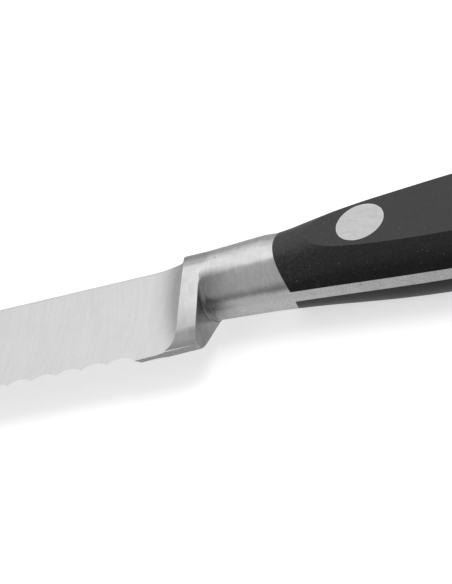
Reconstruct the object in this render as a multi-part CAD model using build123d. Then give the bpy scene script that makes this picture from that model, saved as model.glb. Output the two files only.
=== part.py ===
from build123d import *
from math import atan2, cos, degrees, radians, sin, tan
import os

# A forged kitchen knife with a scalloped edge, lying on its right side.
# +X runs to the tip, +Y to the cutting edge and +Z out of the left side.
# The origin is on the right handle flat, midway between the front and middle rivets.

# Handle thickness and rivets
handle_thickness = 12.8
tang_thickness = 2.2
rivet_head_diameter = 8.0
rivet_head_height = 1.8
rivet_tube_diameter = 5.0
rivet_pin_diameter = 3.0
fit_gap = 0.02
overrun = 5.0

# Handle, bolster and tang, with distances measured back from the guard
guard_to_front_rivet = 28.1
rear_rivet_to_butt = 21.9
handle_length = 110.0
handle_depth = 20.1
handle_round_width = 18.6
bolster_length = 13.14
scale_nose_radius = 13.1
scale_nose_drop = 0.4
scale_nose_turn = 50.0
flat_start = 24.1
flat_runout_radius = 30.0
flat_runout_turn = 45.0
butt_centre_drop = 2.2
butt_back_height = 10.75
butt_back_length = 12.0
butt_belly_height = 10.7
butt_belly_length = 6.0
butt_edge_radius = 2.0

# Guard
guard_width = 11.1
guard_height = 12.1
guard_centre_rise = 0.05
guard_slant = 4.2
guard_foot_width = 1.2
guard_drop = 13.45
guard_heel_radius = 0.8
guard_fillet_length = 1.1
guard_fillet_height = 0.35
guard_fillet_start = 2.4
fillet_steps = 3
guard_flank_angle = 18.6
guard_toe_start = 10.8
guard_band = 3.88
crown_rise = 5.5
crown_shoulder_rise = 3.0
crown_shoulder_reach = 3.7
crown_step = 0.15

# Blade
blade_length = 130.0
spine_rise = 5.2
edge_drop = 13.98
spine_thickness = 2.1
spine_tip_thickness = 1.2
edge_thickness = 0.74
flare_radius = 9.5
flare_reach = 7.5
flare_bend = 2.8
flare_sections = 6
plain_heel_length = 8.8
belly_length = 26.0
point_rise = 4.5
back_curve_length = 60.0

# Scalloped edge, ground from the right side only
scallop_pitch = 4.7
scallop_depth = 1.2
scallop_face_radius = 3.18
scallop_grind_angle = 29.0
plain_tip_length = 3.0

# Handle outline. Each row holds shares: how far back along the handle, the width of the round bar
# before its flats, and its rise and drop from the centre line as parts of the handle's depth.
section_shares = [
    (0.096, 0.656, 0.326, 0.326),
    (0.165, 0.731, 0.339, 0.357),
    (0.228, 0.835, 0.377, 0.390),
    (0.301, 0.924, 0.401, 0.429),
    (0.392, 0.973, 0.447, 0.471),
    (0.510, 0.997, 0.474, 0.505),
    (0.646, 1.000, 0.478, 0.498),
    (0.783, 1.000, 0.435, 0.493),
    (0.919, 1.000, 0.413, 0.567),
    (1.055, 1.000, 0.428, 0.687),
]

mid = handle_thickness / 2
half_reach = mid + overrun
rivet_pitch = (handle_length - guard_to_front_rivet - rear_rivet_to_butt) / 2
front_rivet = rivet_pitch / 2
guard_back = front_rivet + guard_to_front_rivet
guard_front = guard_back + guard_band
bolster_back = guard_back - bolster_length
butt = guard_back - handle_length
tip = guard_front + blade_length
guard_y = -guard_centre_rise
scallop_start = guard_front + plain_heel_length
blade_depth = spine_rise + edge_drop


def cross_plane(x, y=0, slant=0):
    """Plane across the knife through (x, y); its own x axis runs along +Y."""
    turn = radians(slant)
    return Plane((x, y, mid), x_dir=(sin(turn), cos(turn), 0), z_dir=(cos(turn), -sin(turn), 0))


def plan_plane(y):
    """Plane seen from the edge side at height y: its own y axis runs along +Z."""
    return Plane((0, y, mid), x_dir=(1, 0, 0), z_dir=(0, -1, 0))


def side_prism(*outline):
    """Solid with the given side outline, right through the knife."""
    return extrude(Plane.XY.offset(mid) * make_face(outline), half_reach, both=True)


def guard_line(y):
    """How far forward the slanted back of the guard is at height y."""
    return guard_back + (y - guard_y) * tan(radians(guard_slant))


def collar_section(behind=0, wider=0):
    """Slanted oval behind the back of the guard by one amount and wider than it by another."""
    turn = radians(guard_slant)
    oval = Ellipse(guard_height / 2 / cos(turn) + wider, guard_width / 2 + wider)
    return cross_plane(guard_back - behind, guard_y, guard_slant) * oval


def guard_fillet():
    """Hollow ring where the underside of the bolster meets the back of the guard."""
    rings = []
    for step in range(fillet_steps + 1):
        turn = radians(90 * step / fillet_steps)
        behind = guard_fillet_length * (1 - cos(turn))
        rings.append(collar_section(behind, guard_fillet_height * (1 - sin(turn))))
    middle = Pos(guard_back, guard_fillet_start + handle_depth / 2, mid)
    return loft(rings, ruled=True) & middle * Box(handle_depth, handle_depth, handle_depth)


def handle_bar():
    """Bolster and handle as one round bar, before its flats are ground."""
    sections = []
    for along, width, rise, drop in section_shares:
        plane = cross_plane(guard_back - along * handle_length, (drop - rise) / 2 * handle_depth)
        oval = Ellipse((rise + drop) / 2 * handle_depth, width * handle_round_width / 2)
        sections.append(plane * oval)
    return loft([collar_section(), sections[0]], ruled=True) + loft(sections)


def butt_limit():
    """Side outline whose back end is two quarter ellipses."""
    centre = (butt + butt_back_length, butt_centre_drop)
    foot_centre = (butt + butt_belly_length, butt_centre_drop)
    back = EllipticalCenterArc(centre, butt_back_length, butt_back_height, 180, arc_size=90)
    belly = EllipticalCenterArc(foot_centre, butt_belly_length, butt_belly_height, 90, arc_size=90)
    front = guard_back + overrun
    shoulder = butt + handle_length / 2
    top = -handle_depth
    foot = handle_depth
    rest = Polyline(back @ 1, (shoulder, top), (front, top), (front, foot), (shoulder, foot), belly @ 0)
    return side_prism(back, belly, rest)


def flat_limit():
    """Plan outline: the two side flats, their run-out in front and the rounded butt edges."""
    start = guard_back - flat_start
    left = JernArc((start, mid), (1, 0), flat_runout_radius, flat_runout_turn)
    right = JernArc((start, -mid), (1, 0), flat_runout_radius, -flat_runout_turn)
    corners = ((start, mid), (butt, mid), (butt, -mid), (start, -mid))
    back = FilletPolyline(*corners, radius=butt_edge_radius)
    outline = [left, right, back, Line(left @ 1, right @ 1)]
    return extrude(plan_plane(0) * make_face(outline), handle_depth, both=True)


def scale_zone(side):
    """Everything behind the bolster's hollow end and beside the tang, on side 1 (left) or -1."""
    back = butt - overrun
    centre = (bolster_back - scale_nose_radius, scale_nose_drop)
    nose = CenterArc(centre, scale_nose_radius, -scale_nose_turn, 2 * scale_nose_turn)
    top = ((nose @ 0).X, -handle_depth)
    foot = ((nose @ 1).X, handle_depth)
    rest = Polyline(nose @ 1, foot, (back, handle_depth), (back, -handle_depth), top, nose @ 0)
    face = Plane.XY.offset(mid + side * tang_thickness / 2) * make_face([nose, rest])
    return extrude(face, side * half_reach)


def blade_share(y):
    """How far down the blade height y is, from 0 at the spine to 1 at the edge."""
    return (y + spine_rise) / blade_depth


def blade_half(y, spine):
    """Half the blade's thickness at height y, where the spine has the given thickness."""
    return (spine + (edge_thickness - spine) * blade_share(y)) / 2


def flare_section(y):
    """Blade, hollow flares and guard block seen from the edge side at height y."""
    start = guard_front + flare_reach - flare_bend * blade_share(y) ** 3
    root = blade_half(y, spine_thickness)
    point = blade_half(y, spine_tip_thickness)
    left = JernArc((start, root), (-1, 0), flare_radius, -90)
    right = JernArc((start, -root), (-1, 0), flare_radius, 90)
    back = guard_back - 2 * overrun
    outline = [
        left,
        right,
        Polyline(left @ 0, (tip + overrun, point), (tip + overrun, -point), right @ 0),
        Polyline(left @ 1, (back, root + flare_radius), (back, -root - flare_radius), right @ 1),
    ]
    return plan_plane(y) * make_face(outline)


def guard_section(x, top):
    """Outline across the guard or the blade's root at x: the given top, flat flanks and round toes."""
    centre = (guard_y, 0)
    high = guard_height / 2
    wide = guard_width / 2
    foot = guard_foot_width / 2
    slope = tan(radians(guard_flank_angle))
    touch = degrees(atan2(wide, high * slope))
    left = EllipticalCenterArc(centre, high, wide, touch, arc_size=90 - touch)
    right = EllipticalCenterArc(centre, high, wide, 270, arc_size=90 - touch)
    corner = left @ 0
    toe = corner.Y - (guard_toe_start - corner.X) * slope
    left_flank = Line(corner, (guard_toe_start, toe))
    right_flank = Line(right @ 1, (guard_toe_start, -toe))
    left_toe = TangentArc((guard_toe_start, toe), (guard_drop, foot), tangent=left_flank % 1)
    right_toe = TangentArc((guard_toe_start, -toe), (guard_drop, -foot), tangent=right_flank % 1)
    low = edge_drop + overrun
    below = Polyline((guard_drop, -foot), (low, -foot), (low, foot), (guard_drop, foot))
    outline = [left, top, right, right_flank, right_toe, below, left_toe, left_flank]
    return cross_plane(x) * make_face(outline)


def guard_and_root():
    """Long bar with the guard's section, stepping down at the top to the crowned root of the blade."""
    high = guard_height / 2
    wide = guard_width / 2
    oval = EllipticalCenterArc((guard_y, 0), high, wide, 90, arc_size=180)
    crown = Spline(
        (guard_y, wide),
        (-crown_shoulder_rise, crown_shoulder_reach),
        (-crown_rise, 0),
        (-crown_shoulder_rise, -crown_shoulder_reach),
        (guard_y, -wide),
        tangents=[(-1, 0), (1, 0)],
    )
    sections = [
        guard_section(guard_back - overrun, oval),
        guard_section(guard_front - crown_step, oval),
        guard_section(guard_front, crown),
        guard_section(tip + overrun, crown),
    ]
    return loft(sections, ruled=True)


def blade_outline():
    """Side outline of the blade and guard."""
    top = -guard_height
    foot = (guard_line(guard_drop), guard_drop)
    heel = FilletPolyline(
        (guard_line(top), top), foot, (scallop_start, edge_drop), radius=guard_heel_radius)
    edge, belly, back = edge_lines()
    root = guard_front - crown_step
    rest = Polyline(back @ 0, (root, -spine_rise), (root, top), (guard_line(top), top))
    return side_prism(heel, edge, belly, back, rest)


def edge_lines():
    """Straight edge, rising belly and dropping back of the blade."""
    point = (tip, edge_drop - point_rise)
    belly_start = (tip - belly_length, edge_drop)
    back_start = (tip - back_curve_length, -spine_rise)
    edge = Line((scallop_start, edge_drop), belly_start)
    belly = TangentArc(belly_start, point, tangent=(1, 0))
    back = TangentArc(back_start, point, tangent=(1, 0))
    return edge, belly, back


def scallop_cutters():
    """One slanted grinding cylinder for each scallop, following the edge."""
    edge, belly, back = edge_lines()
    path = Wire([edge, belly])
    count = int((path.length - plain_tip_length) / scallop_pitch)
    grind = radians(scallop_grind_angle)
    radius = scallop_face_radius / sin(grind)
    cutters = []
    for number in range(count):
        along = (number + 0.5) * scallop_pitch
        place = path.position_at(along, position_mode=PositionMode.LENGTH)
        ahead = path.tangent_at(along, position_mode=PositionMode.LENGTH)
        down = Vector(-ahead.Y, ahead.X)
        crest = place - down * scallop_depth
        share = (crest.X - guard_front) / blade_length
        spine = spine_thickness + (spine_tip_thickness - spine_thickness) * share
        crest += Vector(0, 0, mid + blade_half(crest.Y, spine))
        axis = down * cos(grind) + Vector(0, 0, sin(grind))
        outward = down * sin(grind) - Vector(0, 0, cos(grind))
        plane = Plane(crest + outward * radius, x_dir=ahead, z_dir=axis)
        cutters.append(plane * Cylinder(radius, 2 * overrun))
    return cutters


def rivet_places():
    """Name and place along the knife of each rivet, from the front."""
    names = ("front", "middle", "rear")
    return [(name, front_rivet - row * rivet_pitch) for row, name in enumerate(names)]


def post(x, radius, low, high):
    """Upright cylinder at x between two heights."""
    return Pos(x, 0, low) * Cylinder(radius, high - low, align=(Align.CENTER, Align.CENTER, Align.MIN))


def rivet_holes():
    """Through holes for the rivet tubes and a seat for each head."""
    tube = rivet_tube_diameter / 2 + fit_gap
    head = rivet_head_diameter / 2 + fit_gap
    holes = []
    for name, x in rivet_places():
        holes.append(post(x, tube, -overrun, handle_thickness + overrun))
        holes.append(post(x, head, -overrun, rivet_head_height))
        holes.append(post(x, head, handle_thickness - rivet_head_height, handle_thickness + overrun))
    return holes


def rivet_post(x):
    """Left half of a rivet: a head with a solid pin."""
    seat = handle_thickness - rivet_head_height
    head = post(x, rivet_head_diameter / 2, seat, handle_thickness)
    return head + post(x, rivet_pin_diameter / 2, rivet_head_height + fit_gap, seat)


def rivet_socket(x):
    """Right half of a rivet: a head with a tube that takes the pin."""
    rim = handle_thickness - rivet_head_height - fit_gap
    head = post(x, rivet_head_diameter / 2, 0, rivet_head_height)
    tube = post(x, rivet_tube_diameter / 2, rivet_head_height, rim)
    return head + tube - post(x, rivet_pin_diameter / 2 + fit_gap, rivet_head_height, rim)


def front_block():
    """Blade and guard, before the scallops are ground."""
    high = -guard_height
    step = (edge_drop + overrun - high) / flare_sections
    blank = loft([flare_section(high + number * step) for number in range(flare_sections + 1)])
    root = guard_and_root()
    return (blank & root & blade_outline()) + (guard_fillet() & root)


bar = handle_bar()
limited_bar = bar & butt_limit()
flat_bar = limited_bar & flat_limit()
left_zone = scale_zone(1)
right_zone = scale_zone(-1)
holes = rivet_holes()

blade = front_block() - scallop_cutters()
tang = limited_bar - left_zone - right_zone - holes

parts = {
    "forged_blade": blade + tang,
    "left_scale": (flat_bar & left_zone) - holes,
    "right_scale": (flat_bar & right_zone) - holes,
}
for name, x in rivet_places():
    parts[name + "_rivet_post"] = rivet_post(x)
    parts[name + "_rivet_socket"] = rivet_socket(x)

os.makedirs("parts", exist_ok=True)
for name, part in parts.items():
    export_step(part, f"parts/{name}.step")
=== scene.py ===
"""The tomato knife's finishes, light, floor and camera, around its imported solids."""

import bmesh
import bpy
from mathutils import Matrix, Vector


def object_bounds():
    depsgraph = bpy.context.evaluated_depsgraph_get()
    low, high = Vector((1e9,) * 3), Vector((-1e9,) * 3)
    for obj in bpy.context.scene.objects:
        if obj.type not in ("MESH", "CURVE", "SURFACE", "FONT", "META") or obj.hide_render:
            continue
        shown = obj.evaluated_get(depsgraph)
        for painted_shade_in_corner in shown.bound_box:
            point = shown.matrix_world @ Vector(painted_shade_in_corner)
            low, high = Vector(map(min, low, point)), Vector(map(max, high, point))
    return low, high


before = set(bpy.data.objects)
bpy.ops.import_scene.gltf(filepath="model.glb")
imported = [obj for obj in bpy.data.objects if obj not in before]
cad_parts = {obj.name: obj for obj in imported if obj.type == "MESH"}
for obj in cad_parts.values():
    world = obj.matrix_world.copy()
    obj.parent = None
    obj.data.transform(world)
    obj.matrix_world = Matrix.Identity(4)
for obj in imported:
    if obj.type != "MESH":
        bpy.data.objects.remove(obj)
cad_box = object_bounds()

# Lengths are in metres and turns in radians.
MM = 0.001
QUARTER_TURN = 1.5708
WHITE = (1.0, 1.0, 1.0, 1.0)


# ---- places on the knife ----

# X runs towards the tip, Y towards the cutting edge and Z out of the left side. The
# guard's two faces lean, so these are their places at Y 0, and how fast they move along
# X as Y grows: the front one back and the back one ahead. The middle plane is a Z and
# the spine, which is the blade's back edge, a Y.
GUARD_FRONT = 46.98 * MM
GUARD_FRONT_LEAN = 0.19
GUARD_BACK = 43.1 * MM
GUARD_BACK_LEAN = 0.0734
MIDDLE_PLANE = 6.4 * MM
SPINE = -5.2 * MM

# The zones of the forging. Each pair is where a smooth step begins and ends. For the
# way that a surface faces, it is the part of its unit normal that points ahead, along
# X, or down, along Y.
BLADE_START = (GUARD_FRONT - 0.4 * MM, GUARD_FRONT + 0.6 * MM)
SPINE_WIDTH = (SPINE + 0.1 * MM, SPINE + 0.7 * MM)
# Painted light where the flare faces ahead, and painted shade at its end.
FLARE_PAINTED_LIGHT_AHEAD = (0.0, 0.45)
FLARE_END_PAINTED_SHADE_AHEAD = (0.45, 0.7)

# The strip ground along the underside of the bolster and tang: its left and right
# edges from the middle plane, its height, where painted light makes it a little lighter
# towards the front, and how it fades and ends at the guard.
STRIP_LEFT_EDGE = (1.0 * MM, 2.3 * MM)
STRIP_RIGHT_EDGE = (-3.2 * MM, -2.2 * MM)
STRIP_HEIGHT = (3.5 * MM, 4.5 * MM)
STRIP_PAINTED_LIGHT = (-20 * MM, 20 * MM)
STRIP_FADE = (GUARD_BACK - 6 * MM, GUARD_BACK - 0.9 * MM)
STRIP_FADED_TO = 0.3
STRIP_END = (GUARD_BACK - 0.9 * MM, GUARD_BACK - 0.4 * MM)

# The guard's ground foot is its low flat and the heel facet behind that. The toe is the
# round between the flat and the guard's side, darkened with painted shade.
FOOT_HEIGHT = (8 * MM, 9 * MM)
FLAT_DOWN = (0.9, 0.97)
HEEL_DOWN = (0.15, 0.5)
HEEL_AHEAD = (-0.4, -0.2)
TOE_PAINTED_SHADE_DOWN = (0.5, 0.7)
SIDE_AHEAD = (-0.25, -0.1)

# The guard's back, darkened with painted shade and more so on its lower half; the hollow
# corner where the bolster meets it, darkened with painted shade that is weaker on the
# strip; and the band that is the guard's side, with painted shade at its top and low down.
GUARD_BACK_PAINTED_SHADE_AHEAD = (-0.9, -0.5)
GUARD_BACK_PAINTED_SHADE_LOWER_HALF = (6 * MM, 10 * MM)
CORNER_START = (GUARD_BACK - 8 * MM, GUARD_BACK)
CORNER_END = (GUARD_BACK - 0.1 * MM, GUARD_BACK)
CORNER_HEIGHT = (1.2 * MM, 2.6 * MM)
CORNER_PAINTED_SHADE_LOST_ON_STRIP = 0.8
BAND_START = (GUARD_BACK - 2 * MM, GUARD_BACK)
BAND_PAINTED_SHADE_UPPER_END = (-0.3 * MM, 0.5 * MM)
BAND_PAINTED_SHADE_DOWN = (0.2, 0.3)
BAND_PAINTED_SHADE_LOWER_START = (6 * MM, 11 * MM)
BAND_PAINTED_SHADE_LOWER_END = (11 * MM, 12.5 * MM)

# The scales: their sanded flats face straight sideways, the grain shows more at their
# front ends, and painted light makes the right one's underside a little lighter.
FLAT_SIDEWAYS = (0.98, 0.998)
GRAINY_FRONT = (17 * MM, 26 * MM)
UNDERSIDE_PAINTED_LIGHT_DOWN = (0.2, 0.5)


# ---- marks of making and use ----

# Grinding lines, by the width and length of a line, and by how far its pattern carries
# on across the thickness.
BLADE_LINES = {"Width": 0.15 * MM, "Length": 6 * MM, "Depth": 5 * MM}
GUARD_LINES = {"Width": 0.2 * MM, "Length": 2.5 * MM, "Depth": 2.5 * MM}
STRIP_LINES = {"Width": 0.3 * MM, "Length": 1.5 * MM, "Depth": 0.3 * MM}
SCALE_LINES = {"Width": 0.16 * MM, "Length": 6 * MM, "Depth": 0.16 * MM}
RIVET_LINES = {"Width": 0.12 * MM, "Length": 1.0 * MM, "Depth": 5 * MM}
RIVET_LINES_TURN = 1.77

# The blade's lines are arcs. They lie furthest back at this height, and run forward by
# the bow times the square of the distance from it.
ARC_MIDDLE = 5.3 * MM
ARC_BOW = 9.0

STEEL_PORES = {"Spacing": 0.8 * MM, "Size": 0.16, "Share": 0.3}
STEEL_PORE_STRETCH = (0.4, 1.0, 1.0)
RIVET_PORES = {"Spacing": 0.7 * MM, "Size": 0.12, "Share": 0.08}
SCALE_DUST = {"Spacing": 0.42 * MM, "Size": 0.17, "Share": 0.2}
SCALE_CRUMBS = {"Spacing": 0.8 * MM, "Size": 0.13, "Share": 0.6}

STEEL_SCRATCHES = {"Spacing": 7 * MM, "Width": 0.004, "Share": 0.45}
SCALE_SCRATCHES = {"Spacing": 6 * MM, "Width": 0.005, "Share": 0.5}

STEEL_WEAR = {"Radius": 0.12 * MM, "Unevenness": 0.5}
SCALE_WEAR = {"Radius": 0.15 * MM, "Unevenness": 0.7}
RIVET_WEAR = {"Radius": 0.2 * MM, "Unevenness": 0.4}

STEEL_HANDLING = {"Spread": 8 * MM}
SCALE_HANDLING = {"Spread": 10 * MM}
RIVET_HANDLING = {"Spread": 5 * MM}

# Plain noise, by how many of its patches go in a metre.
STEEL_GRIT = {"scale": 4200.0, "detail": 3.0, "roughness": 0.7}
STEEL_MOTTLE = {"scale": 520.0, "detail": 4.0, "roughness": 0.6}
RIVET_MOTTLE = {"scale": 1000.0, "detail": 4.0, "roughness": 0.6}
SCALE_GRAIN = {"scale": 2600.0, "detail": 2.0, "roughness": 0.6}
SCALE_DUSTINESS = {"scale": 120.0, "detail": 3.0}


# ---- how strongly each mark shows ----

# A pair of the steel's is a value off the blade and one on it.
STEEL_BRIGHTNESS = (0.63, 0.625)
STEEL_BRIGHTNESS_OF_LINES = (0.26, 0.17)
STEEL_BRIGHTNESS_OF_MOTTLE = (0.26, 0.06)
STEEL_BRIGHTNESS_OF_MARKS = {
    "strip": 0.26,
    # Painted light makes the strip lighter towards its front.
    "front of strip": 0.04,
    # Painted shade darkens the toe.
    "painted_shade_on_toe": -0.15,
    # Painted shade darkens the hollow corner and the band's top and low part.
    "painted_shade_in_corner": -0.3,
    "upper band": -0.17,
    "lower band": -0.14,
    "spine": -0.05,
    # Painted light on the flare and painted shade at its end.
    "flare": 0.13,
    "end of flare": -0.1,
    # Painted shade darkens the guard's back, more on its lower half.
    "lower half of guard's back": -0.1,
    "guard's back": -0.17,
    "slow tone of lines": 0.03,
    "grit": 0.9,
    "pores": -0.35,
    "wear": 0.03,
    "handling": -0.008,
}
STEEL_ROUGHNESS = (0.22, 0.28)
STEEL_ROUGHNESS_OF_MARKS = {
    "strip and foot": 0.16,
    "lines": 0.10,
    "mottle": 0.10,
    "handling": 0.015,
    "scratches": 0.10,
}
STEEL_METAL_LOST_ON_STRIP_AND_FOOT = 0.75
# How strongly pores show off the blade. On the blade they show by 1 less.
STEEL_PORES_OFF_BLADE = 1.15
STEEL_HEIGHT_OF_MARKS = {"grit": 1.2, "mottle": 0.4, "pores": -1.5, "scratches": -0.6}
STEEL_RELIEF = {"strength": 0.25, "distance": 0.012 * MM}

PLASTIC_BRIGHTNESS = 0.006
PLASTIC_DARKEST = 0.002
PLASTIC_BRIGHTNESS_OF_MARKS = {
    "lines": 0.022,
    # Painted light on the right scale's underside.
    "painted_light_on_underside": 0.02,
    "grain": 0.045,
    "dust": 0.035,
    "crumbs": 0.12,
    "wear": 0.012,
    "scratches": 0.012,
}
PLASTIC_ROUGHNESS = 0.36
PLASTIC_ROUGHNESS_OF_MARKS = {
    "lines": 0.12,
    "handling": 0.03,
    "dust": 0.3,
    "scratches": 0.15,
    "wear": -0.06,
}
PLASTIC_HEIGHT_OF_MARKS = {"grain": 0.8, "dust": 1.5, "scratches": -1.2}
PLASTIC_RELIEF = {"strength": 0.25, "distance": 0.01 * MM}
PLASTIC_IOR = 1.5

# What the sanded flats keep of the crumbs and grain of the moulded rounds.
LEFT_ON_FLATS = 0.6
# How strongly the grain shows behind the front end, and on it.
GRAIN_STRENGTH = (0.9, 2.2)
# The dustiness noise from clean to dusty, and how much dust shows there.
DUSTY_PATCHES = {"low": 0.4, "high": 0.75, "start": 0.25, "end": 1.0}

RIVET_BRIGHTNESS = 0.54
RIVET_BRIGHTNESS_OF_MARKS = {
    "lines": 0.34,
    "mottle": 0.12,
    "pores": -0.15,
    "wear": 0.2,
    "handling": -0.01,
}
RIVET_ROUGHNESS = 0.3
RIVET_ROUGHNESS_OF_MARKS = {"lines": 0.12, "handling": 0.02}
RIVET_RELIEF = {"strength": 0.35, "distance": 0.012 * MM}


# ---- floor, light and camera ----

FLOOR_REACH = 3.0
FLOOR_GREY = 0.65
FLOOR_ROUGHNESS = 0.9
GLOW_FOR_CAMERA = 0.6
# Reflections see the floor in the first of these greys, and in the second, a painted
# shade, on the side that is near the camera. Between there and the far side, beneath the
# knife, it glows in reflections alone: a painted glow where there is no lamp.
MIRRORED_GREYS = (0.5, 0.22)
NEAR_SIDE = (4 * MM, 18 * MM)
FAR_SIDE = (-14 * MM, -4 * MM)
PAINTED_GLOW_BENEATH_KNIFE = 0.4

# The room's brightness from the horizon upwards, by the Z of a unit direction, and the
# span of that direction's Y over which the far wall turns into the near room.
FAR_WALL = {"low": 0.0, "high": 0.8, "start": 0.45, "end": 1.17}
NEAR_ROOM = {"low": 0.0, "high": 0.4, "start": 0.27, "end": 0.5}
ROOM_TURN = (-0.14, 0.02)

KEY_LAMP_PLACE = Vector((-0.35, -0.25, 0.9))
KEY_LAMP_WIDTH = 0.5
KEY_LAMP_POWER = 2.0

# The camera's place, and its right and up directions. Lens and film alone are in
# millimetres.
CAMERA_PLACE = Vector((-64.64, 201.66, 185.26)) * MM
CAMERA_RIGHT = Vector((-0.9082, -0.1198, -0.4009))
CAMERA_UP = Vector((-0.2034, -0.7108, 0.6733))
CAMERA_LENS = 108.4
CAMERA_NEAREST = 10 * MM
FILM_HEIGHT = 36.0


# ---- nodes ----


def add(tree, kind, inputs=None, **settings):
    """A new node with its settings, and its inputs as values or as links."""
    node = tree.nodes.new(kind)
    for name, value in settings.items():
        setattr(node, name, value)
    for key, value in (inputs or {}).items():
        if isinstance(value, bpy.types.NodeSocket):
            tree.links.new(value, node.inputs[key])
        else:
            node.inputs[key].default_value = value
    return node


def calc(tree, operation, *terms, clamp=False):
    """The result of one Math node."""
    inputs = dict(enumerate(terms))
    node = add(tree, "ShaderNodeMath", inputs, operation=operation, use_clamp=clamp)
    return node.outputs[0]


def total(tree, *terms):
    """The sum of several numbers."""
    value = terms[0]
    for term in terms[1:]:
        value = calc(tree, "ADD", value, term)
    return value


def product(tree, *terms):
    """Several numbers multiplied."""
    value = terms[0]
    for term in terms[1:]:
        value = calc(tree, "MULTIPLY", value, term)
    return value


def weighted(tree, start, marks, weights):
    """A start value, plus every mark that has a weight, times that weight."""
    scaled = [product(tree, marks[name], weight) for name, weight in weights.items()]
    return total(tree, start, *scaled)


def centred(tree, value):
    """A pattern between 0 and 1, moved to lie evenly about 0."""
    return calc(tree, "SUBTRACT", value, 0.5)


def without(tree, mask, other):
    """A mask less another one."""
    return calc(tree, "SUBTRACT", mask, other, clamp=True)


def ramp(tree, value, low, high, start=0.0, end=1.0):
    """A smooth step of a value from start at low to end at high."""
    inputs = {
        "Value": value,
        "From Min": low,
        "From Max": high,
        "To Min": start,
        "To Max": end,
    }
    node = add(tree, "ShaderNodeMapRange", inputs, interpolation_type="SMOOTHSTEP")
    return node.outputs["Result"]


def rise(tree, value, span):
    """A smooth step from 0 to 1 over a span."""
    return ramp(tree, value, *span)


def fall(tree, value, span):
    """A smooth step from 1 to 0 over a span."""
    return ramp(tree, value, *span, start=1.0, end=0.0)


def blend(tree, share, first, second):
    """A number between two others."""
    inputs = {0: share, 2: first, 3: second}
    return add(tree, "ShaderNodeMix", inputs, data_type="FLOAT").outputs[0]


def grey(tree, value):
    """A neutral colour of one brightness."""
    return add(tree, "ShaderNodeCombineColor", {0: value, 1: value, 2: value}).outputs[0]


def parts_of(tree, vector):
    """The X, Y and Z of a vector."""
    return add(tree, "ShaderNodeSeparateXYZ", {0: vector}).outputs


def mapped(tree, vector, **inputs):
    """Coordinates turned or stretched, to turn or stretch a pattern."""
    return add(tree, "ShaderNodeMapping", {"Vector": vector, **inputs}).outputs[0]


def noise(tree, vector, scale=1.0, detail=2.0, roughness=0.5):
    """Soft noise between 0 and 1."""
    inputs = {
        "Vector": vector,
        "Scale": scale,
        "Detail": detail,
        "Roughness": roughness,
    }
    return add(tree, "ShaderNodeTexNoise", inputs).outputs[0]


def new_group(name, amounts, results):
    """A node group with a Vector and some amounts in and some numbers out."""
    tree = bpy.data.node_groups.new(name, "ShaderNodeTree")
    sockets = [("Vector", "INPUT", "NodeSocketVector")]
    sockets += [(label, "INPUT", "NodeSocketFloat") for label in amounts]
    sockets += [(label, "OUTPUT", "NodeSocketFloat") for label in results]
    for label, side, kind in sockets:
        tree.interface.new_socket(name=label, in_out=side, socket_type=kind)
    given = tree.nodes.new("NodeGroupInput").outputs
    result = tree.nodes.new("NodeGroupOutput").inputs
    return tree, given, result


def place_group(tree, group, vector, amounts):
    """A group placed in a material, with its own values."""
    inputs = {"Vector": vector, **amounts}
    return add(tree, "ShaderNodeGroup", inputs, node_tree=group).outputs


# ---- effects that several finishes share ----


def grinding_lines():
    """Fine parallel lines along Y: their height, and their slow change of tone."""
    broader = (0.21, 0.6, 0.21)
    share_of_broad = 0.35

    amounts = ["Width", "Length", "Depth"]
    tree, given, result = new_group("grinding lines", amounts, ["Height", "Tone"])
    x, y, z = parts_of(tree, given["Vector"])
    across = calc(tree, "DIVIDE", x, given["Width"])
    along = calc(tree, "DIVIDE", y, given["Length"])
    depth = calc(tree, "DIVIDE", z, given["Depth"])
    fine = add(tree, "ShaderNodeCombineXYZ", {0: across, 1: along, 2: depth}).outputs[0]
    broad = add(
        tree, "ShaderNodeVectorMath", {0: fine, 1: broader}, operation="MULTIPLY"
    ).outputs[0]
    lines = noise(tree, fine, detail=2.5, roughness=0.65)
    bands = noise(tree, broad, detail=3.0, roughness=0.6)
    mixed = blend(tree, share_of_broad, lines, bands)
    tree.links.new(mixed, result["Height"])
    tree.links.new(bands, result["Tone"])
    return tree


def specks():
    """Small round spots scattered on a surface, as pores, crumbs or dust."""
    least_radius = 0.4
    solid_middle = 0.35

    amounts = ["Spacing", "Size", "Share"]
    tree, given, result = new_group("specks", amounts, ["Mask"])
    density = calc(tree, "DIVIDE", 1.0, given["Spacing"])
    pattern = {"Vector": given["Vector"], "Scale": density}
    cells = add(tree, "ShaderNodeTexVoronoi", pattern).outputs
    chance = add(tree, "ShaderNodeSeparateColor", {0: cells["Color"]}).outputs
    kept = calc(tree, "LESS_THAN", chance[0], given["Share"])
    size = calc(tree, "ADD", chance[1], least_radius)
    radius = product(tree, given["Size"], size)
    inner = product(tree, radius, solid_middle)
    spot = fall(tree, cells["Distance"], (inner, radius))
    tree.links.new(product(tree, spot, kept), result["Mask"])
    return tree


def hairlines():
    """Sparse thin scratches that wander across a surface."""
    finer_breaks = 1.7
    soft_end = 0.08

    amounts = ["Spacing", "Width", "Share"]
    tree, given, result = new_group("hairlines", amounts, ["Mask"])
    density = calc(tree, "DIVIDE", 1.0, given["Spacing"])
    wander = noise(tree, given["Vector"], density, detail=0.0)
    offset = calc(tree, "ABSOLUTE", centred(tree, wander))
    line = fall(tree, offset, (0.0, given["Width"]))
    breaks = product(tree, density, finer_breaks)
    shown = noise(tree, given["Vector"], breaks, detail=1.0)
    limit = calc(tree, "SUBTRACT", 1.0, given["Share"])
    broken = rise(tree, shown, (limit, calc(tree, "ADD", limit, soft_end)))
    tree.links.new(product(tree, line, broken), result["Mask"])
    return tree


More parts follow.
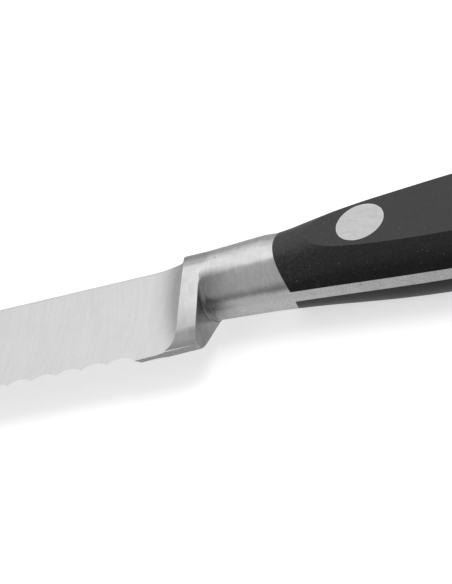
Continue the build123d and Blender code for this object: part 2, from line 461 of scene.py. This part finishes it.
def worn_edges():
    """A thin uneven rub mark along convex and concave edges."""
    edge_likeness = (0.93, 0.995)
    patches = {"scale": 900.0, "detail": 3.0, "roughness": 0.6}
    rubbed_patches = (0.35, 0.6)

    tree, given, result = new_group("worn edges", ["Radius", "Unevenness"], ["Mask"])
    radius = {"Radius": given["Radius"]}
    rounded = add(tree, "ShaderNodeBevel", radius, samples=6).outputs[0]
    flat = add(tree, "ShaderNodeNewGeometry").outputs["True Normal"]
    likeness = add(
        tree, "ShaderNodeVectorMath", {0: rounded, 1: flat}, operation="DOT_PRODUCT"
    ).outputs["Value"]
    edge = fall(tree, likeness, edge_likeness)
    rubbed = rise(tree, noise(tree, given["Vector"], **patches), rubbed_patches)
    uneven = blend(tree, given["Unevenness"], 1.0, rubbed)
    tree.links.new(product(tree, edge, uneven), result["Mask"])
    return tree


def handling():
    """Broad faint patches left by hands and cloths, from about -1 to 1."""
    contrast = 4.0

    tree, given, result = new_group("handling", ["Spread"], ["Value"])
    density = calc(tree, "DIVIDE", 1.0, given["Spread"])
    patches = noise(tree, given["Vector"], density, detail=4.0, roughness=0.55)
    value = calc(tree, "MULTIPLY_ADD", patches, contrast, -contrast / 2)
    tree.links.new(value, result["Value"])
    return tree


LINES = grinding_lines()
SPECKS = specks()
HAIRLINES = hairlines()
WORN = worn_edges()
HANDLING = handling()


# ---- finishes ----


def new_material(name):
    """A material with its node tree, its Principled shader and Object coordinates."""
    material = bpy.data.materials.new(name)
    material.use_nodes = True
    tree = material.node_tree
    shader = tree.nodes["Principled BSDF"]
    place = add(tree, "ShaderNodeTexCoord").outputs["Object"]
    return material, tree, shader, place


def relief(tree, shader, height, strength, distance):
    """Bump on a shader's normal."""
    inputs = {"Height": height, "Strength": strength, "Distance": distance}
    bump = add(tree, "ShaderNodeBump", inputs).outputs[0]
    tree.links.new(bump, shader.inputs["Normal"])


def steel_zones(tree, place):
    """Masks of the forging's zones, by place and by the way that the surface faces, with
    painted light and painted shade among them.
    """
    x, y, z = parts_of(tree, place)
    surface = add(tree, "ShaderNodeNewGeometry").outputs
    ahead, down, _ = parts_of(tree, surface["True Normal"])
    smooth_ahead = parts_of(tree, surface["Normal"])[0]
    to_blade = calc(tree, "MULTIPLY_ADD", y, GUARD_FRONT_LEAN, x)
    to_guard = calc(tree, "MULTIPLY_ADD", y, -GUARD_BACK_LEAN, x)
    from_middle = calc(tree, "SUBTRACT", z, MIDDLE_PLANE)
    blade = rise(tree, to_blade, BLADE_START)

    strip = product(
        tree,
        fall(tree, from_middle, STRIP_LEFT_EDGE),
        rise(tree, from_middle, STRIP_RIGHT_EDGE),
        rise(tree, y, STRIP_HEIGHT),
        ramp(tree, to_guard, *STRIP_FADE, start=1.0, end=STRIP_FADED_TO),
        fall(tree, to_guard, STRIP_END),
    )

    low = rise(tree, y, FOOT_HEIGHT)
    side = rise(tree, ahead, SIDE_AHEAD)
    flat = rise(tree, down, FLAT_DOWN)
    heel = product(
        tree,
        rise(tree, down, HEEL_DOWN),
        fall(tree, ahead, HEEL_AHEAD),
    )
    foot = product(tree, calc(tree, "MAXIMUM", flat, heel), low)
    # Painted shade on the toe round.
    painted_shade_on_toe = without(tree, rise(tree, down, TOE_PAINTED_SHADE_DOWN), flat)
    # Painted shade on the guard's back, by the way that it faces.
    back = without(tree, fall(tree, ahead, GUARD_BACK_PAINTED_SHADE_AHEAD), foot)
    painted_shade_lower_half = rise(tree, y, GUARD_BACK_PAINTED_SHADE_LOWER_HALF)

    # Painted shade in the hollow corner behind the guard.
    painted_shade_in_corner = product(
        tree,
        rise(tree, to_guard, CORNER_START),
        fall(tree, to_guard, CORNER_END),
        rise(tree, y, CORNER_HEIGHT),
        calc(tree, "MULTIPLY_ADD", strip, -CORNER_PAINTED_SHADE_LOST_ON_STRIP, 1.0),
    )
    # Painted shade at the top of the band and low down on it.
    band = without(tree, rise(tree, to_guard, BAND_START), blade)
    painted_shade_on_lower_band = product(
        tree,
        side,
        rise(tree, down, BAND_PAINTED_SHADE_DOWN),
        rise(tree, y, BAND_PAINTED_SHADE_LOWER_START),
        fall(tree, y, BAND_PAINTED_SHADE_LOWER_END),
    )

    return {
        "blade": blade,
        "strip and foot": calc(tree, "MAXIMUM", strip, foot),
        "strip": strip,
        # Painted light on the strip, growing towards its front.
        "front of strip": product(tree, strip, rise(tree, x, STRIP_PAINTED_LIGHT)),
        "painted_shade_on_toe": product(tree, painted_shade_on_toe, low, side),
        "painted_shade_in_corner": painted_shade_in_corner,
        "upper band": product(tree, band, fall(tree, y, BAND_PAINTED_SHADE_UPPER_END)),
        "lower band": painted_shade_on_lower_band,
        "spine": product(tree, fall(tree, y, SPINE_WIDTH), blade),
        # Painted light on the flare and painted shade at its end, by the way that it
        # faces.
        "flare": product(tree, rise(tree, smooth_ahead, FLARE_PAINTED_LIGHT_AHEAD), blade),
        "end of flare": product(tree, rise(tree, smooth_ahead, FLARE_END_PAINTED_SHADE_AHEAD), blade),
        "lower half of guard's back": product(tree, back, painted_shade_lower_half),
        "guard's back": back,
    }


def steel_lines(tree, place, blade, strip_and_foot):
    """The height of the lines of each zone, and the slow tone of the blade's lines."""
    x, y, z = parts_of(tree, place)
    bow = calc(tree, "POWER", calc(tree, "SUBTRACT", y, ARC_MIDDLE), 2.0)
    bowed = calc(tree, "MULTIPLY_ADD", bow, -ARC_BOW, x)
    arcs = add(tree, "ShaderNodeCombineXYZ", {0: bowed, 1: y, 2: z}).outputs[0]
    turned = mapped(tree, place, Rotation=(0.0, 0.0, QUARTER_TURN))

    on_blade = place_group(tree, LINES, arcs, BLADE_LINES)
    on_guard = place_group(tree, LINES, place, GUARD_LINES)
    on_strip = place_group(tree, LINES, turned, STRIP_LINES)
    height = blend(tree, blade, on_guard["Height"], on_blade["Height"])
    height = blend(tree, strip_and_foot, height, on_strip["Height"])
    return height, on_blade["Tone"]


def forged_steel():
    """Ground blade, satin guard and bolster, and rougher ground strip and foot."""
    material, tree, shader, place = new_material("ground forged steel")
    zones = steel_zones(tree, place)
    blade = zones["blade"]
    strip_and_foot = zones["strip and foot"]

    height, tone = steel_lines(tree, place, blade, strip_and_foot)
    lines = centred(tree, height)
    grit = noise(tree, place, **STEEL_GRIT)
    mottle = noise(tree, place, **STEEL_MOTTLE)
    mottled = centred(tree, mottle)
    stretched = mapped(tree, place, Scale=STEEL_PORE_STRETCH)
    pores = place_group(tree, SPECKS, stretched, STEEL_PORES)["Mask"]
    pores = product(tree, pores, calc(tree, "SUBTRACT", STEEL_PORES_OFF_BLADE, blade))
    scratches = place_group(tree, HAIRLINES, place, STEEL_SCRATCHES)["Mask"]
    wear = place_group(tree, WORN, place, STEEL_WEAR)["Mask"]
    handled = place_group(tree, HANDLING, place, STEEL_HANDLING)["Value"]

    marks = {
        **zones,
        "lines": lines,
        "slow tone of lines": centred(tree, tone),
        "mottle": mottled,
        "grit": product(tree, centred(tree, grit), strip_and_foot),
        "pores": pores,
        "scratches": scratches,
        "wear": wear,
        "handling": handled,
    }
    brightness = total(
        tree,
        weighted(
            tree,
            blend(tree, blade, *STEEL_BRIGHTNESS),
            marks,
            STEEL_BRIGHTNESS_OF_MARKS,
        ),
        product(tree, lines, blend(tree, blade, *STEEL_BRIGHTNESS_OF_LINES)),
        product(tree, mottled, blend(tree, blade, *STEEL_BRIGHTNESS_OF_MOTTLE)),
    )
    tree.links.new(grey(tree, brightness), shader.inputs["Base Color"])
    roughness = blend(tree, blade, *STEEL_ROUGHNESS)
    roughness = weighted(tree, roughness, marks, STEEL_ROUGHNESS_OF_MARKS)
    tree.links.new(roughness, shader.inputs["Roughness"])
    lost = product(tree, strip_and_foot, STEEL_METAL_LOST_ON_STRIP_AND_FOOT)
    metal = calc(tree, "SUBTRACT", 1.0, lost)
    tree.links.new(metal, shader.inputs["Metallic"])

    raised = {
        "grit": product(tree, grit, strip_and_foot),
        "mottle": mottle,
        "pores": pores,
        "scratches": scratches,
    }
    height = weighted(tree, height, raised, STEEL_HEIGHT_OF_MARKS)
    relief(tree, shader, height, **STEEL_RELIEF)
    return material


def black_plastic():
    """Black plastic, half matt, sanded on the flats, with crumbs, dust and scratches."""
    material, tree, shader, place = new_material("sanded black plastic")
    x, _, z = parts_of(tree, place)
    surface = add(tree, "ShaderNodeNewGeometry").outputs
    _, down, sideways = parts_of(tree, surface["True Normal"])
    sideways = calc(tree, "ABSOLUTE", sideways)
    moulded = ramp(tree, sideways, *FLAT_SIDEWAYS, start=1.0, end=LEFT_ON_FLATS)
    grainy = product(tree, moulded, ramp(tree, x, *GRAINY_FRONT, *GRAIN_STRENGTH))
    right_side = calc(tree, "LESS_THAN", z, MIDDLE_PLANE)
    # Painted light on the right scale's underside.
    painted_light_on_underside = product(tree, right_side, rise(tree, down, UNDERSIDE_PAINTED_LIGHT_DOWN))

    turned = mapped(tree, place, Rotation=(0.0, 0.0, QUARTER_TURN))
    height = place_group(tree, LINES, turned, SCALE_LINES)["Height"]
    grain = noise(tree, place, **SCALE_GRAIN)
    dust = place_group(tree, SPECKS, place, SCALE_DUST)["Mask"]
    dusty = ramp(tree, noise(tree, place, **SCALE_DUSTINESS), **DUSTY_PATCHES)
    crumbs = place_group(tree, SPECKS, place, SCALE_CRUMBS)["Mask"]

    marks = {
        "lines": centred(tree, height),
        "painted_light_on_underside": painted_light_on_underside,
        "grain": product(tree, centred(tree, grain), grainy),
        "dust": product(tree, dust, dusty),
        "crumbs": product(tree, crumbs, moulded),
        "scratches": place_group(tree, HAIRLINES, place, SCALE_SCRATCHES)["Mask"],
        "wear": place_group(tree, WORN, place, SCALE_WEAR)["Mask"],
        "handling": place_group(tree, HANDLING, place, SCALE_HANDLING)["Value"],
    }
    brightness = weighted(tree, PLASTIC_BRIGHTNESS, marks, PLASTIC_BRIGHTNESS_OF_MARKS)
    brightness = calc(tree, "MAXIMUM", brightness, PLASTIC_DARKEST)
    tree.links.new(grey(tree, brightness), shader.inputs["Base Color"])

    raised = {**marks, "grain": grain, "dust": dust}
    roughness = weighted(tree, PLASTIC_ROUGHNESS, raised, PLASTIC_ROUGHNESS_OF_MARKS)
    tree.links.new(roughness, shader.inputs["Roughness"])
    height = weighted(tree, height, raised, PLASTIC_HEIGHT_OF_MARKS)
    relief(tree, shader, height, **PLASTIC_RELIEF)
    shader.inputs["IOR"].default_value = PLASTIC_IOR
    return material


def rivet_steel():
    """Rivet heads ground flush with the handle, with fine lines across them."""
    material, tree, shader, place = new_material("ground rivet steel")
    turned = mapped(tree, place, Rotation=(0.0, 0.0, RIVET_LINES_TURN))
    height = place_group(tree, LINES, turned, RIVET_LINES)["Height"]
    pores = place_group(tree, SPECKS, place, RIVET_PORES)["Mask"]
    marks = {
        "lines": centred(tree, height),
        "mottle": centred(tree, noise(tree, place, **RIVET_MOTTLE)),
        "pores": pores,
        "wear": place_group(tree, WORN, place, RIVET_WEAR)["Mask"],
        "handling": place_group(tree, HANDLING, place, RIVET_HANDLING)["Value"],
    }
    brightness = weighted(tree, RIVET_BRIGHTNESS, marks, RIVET_BRIGHTNESS_OF_MARKS)
    tree.links.new(grey(tree, brightness), shader.inputs["Base Color"])
    roughness = weighted(tree, RIVET_ROUGHNESS, marks, RIVET_ROUGHNESS_OF_MARKS)
    tree.links.new(roughness, shader.inputs["Roughness"])
    relief(tree, shader, calc(tree, "SUBTRACT", height, pores), **RIVET_RELIEF)
    shader.inputs["Metallic"].default_value = 1.0
    return material


def finish_nodes():
    """The forging gets its steel, the scales their plastic and the rest rivet steel."""
    plastic = black_plastic()
    rivets = rivet_steel()
    finishes = {
        "forged_blade": forged_steel(),
        "left_scale": plastic,
        "right_scale": plastic,
    }
    for name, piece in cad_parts.items():
        finish = finishes.get(name, rivets)
        if not piece.material_slots:
            piece.data.materials.append(finish)
        for slot in piece.material_slots:
            slot.material = finish


# ---- floor, light and camera, in place ----


def lay_floor():
    """A wide floor, white to the camera except where the knife shades it, with painted
    shade and a painted glow in its reflections.
    """
    mesh = bpy.data.meshes.new("floor")
    shape = bmesh.new()
    bmesh.ops.create_grid(shape, x_segments=1, y_segments=1, size=FLOOR_REACH)
    bmesh.ops.translate(shape, verts=shape.verts, vec=(0.0, 0.0, cad_box[0].z))
    shape.to_mesh(mesh)
    shape.free()
    floor = bpy.data.objects.new("floor", mesh)
    bpy.context.scene.collection.objects.link(floor)

    material, tree, shader, place = new_material("pale floor")
    rays = add(tree, "ShaderNodeLightPath").outputs
    y = parts_of(tree, place)[1]
    near = rise(tree, y, NEAR_SIDE)
    far = fall(tree, y, FAR_SIDE)
    mirrored = calc(tree, "MAXIMUM", rays["Is Glossy Ray"], rays["Is Transmission Ray"])
    mirrored_grey = blend(tree, near, *MIRRORED_GREYS)
    shown = blend(tree, mirrored, FLOOR_GREY, mirrored_grey)
    tree.links.new(grey(tree, shown), shader.inputs["Base Color"])
    # Painted glow beneath the knife, seen in reflections alone.
    painted_glow_beneath = without(tree, calc(tree, "SUBTRACT", 1.0, near), far)
    glow = total(
        tree,
        product(tree, rays["Is Camera Ray"], GLOW_FOR_CAMERA),
        product(tree, mirrored, painted_glow_beneath, PAINTED_GLOW_BENEATH_KNIFE),
    )
    tree.links.new(glow, shader.inputs["Emission Strength"])
    shader.inputs["Emission Color"].default_value = WHITE
    shader.inputs["Roughness"].default_value = FLOOR_ROUGHNESS
    shader.inputs["Specular IOR Level"].default_value = 0.0
    mesh.materials.append(material)


def light_room():
    """A bright wall and ceiling beyond the knife, and a dimmer room by the camera."""
    world = bpy.data.worlds.new("studio")
    bpy.context.scene.world = world
    world.use_nodes = True
    tree = world.node_tree
    tree.nodes.clear()
    direction = add(tree, "ShaderNodeTexCoord").outputs["Generated"]
    _, y, z = parts_of(tree, direction)
    beyond = ramp(tree, z, **FAR_WALL)
    by_camera = ramp(tree, z, **NEAR_ROOM)
    strength = blend(tree, rise(tree, y, ROOM_TURN), beyond, by_camera)
    rays = add(tree, "ShaderNodeLightPath").outputs
    seen = blend(tree, rays["Is Camera Ray"], strength, 1.0)
    light = {"Color": WHITE, "Strength": seen}
    background = add(tree, "ShaderNodeBackground", light).outputs[0]
    add(tree, "ShaderNodeOutputWorld", {"Surface": background})


def hang_lamp(name, place, width, power):
    """A soft square lamp that points at the middle of the knife."""
    light = bpy.data.lights.new(name, "AREA")
    light.size = width
    light.energy = power
    lamp = bpy.data.objects.new(name, light)
    turn = place.to_track_quat("Z", "Y").to_matrix().to_4x4()
    lamp.matrix_world = Matrix.Translation(place) @ turn
    bpy.context.scene.collection.objects.link(lamp)


def set_camera():
    """The camera of the photograph's viewing angle."""
    back = CAMERA_RIGHT.cross(CAMERA_UP).normalized()
    right = CAMERA_RIGHT.normalized()
    up = back.cross(right)
    turn = Matrix((right, up, back)).transposed().to_4x4()
    data = bpy.data.cameras.new("camera")
    data.sensor_fit = "VERTICAL"
    data.sensor_height = FILM_HEIGHT
    data.lens = CAMERA_LENS
    data.clip_start = CAMERA_NEAREST
    camera = bpy.data.objects.new("camera", data)
    camera.matrix_world = Matrix.Translation(CAMERA_PLACE) @ turn
    bpy.context.scene.collection.objects.link(camera)
    bpy.context.scene.camera = camera


finish_nodes()
lay_floor()
light_room()
hang_lamp("key", KEY_LAMP_PLACE, KEY_LAMP_WIDTH, KEY_LAMP_POWER)
set_camera()
bpy.context.scene.view_settings.view_transform = "Standard"
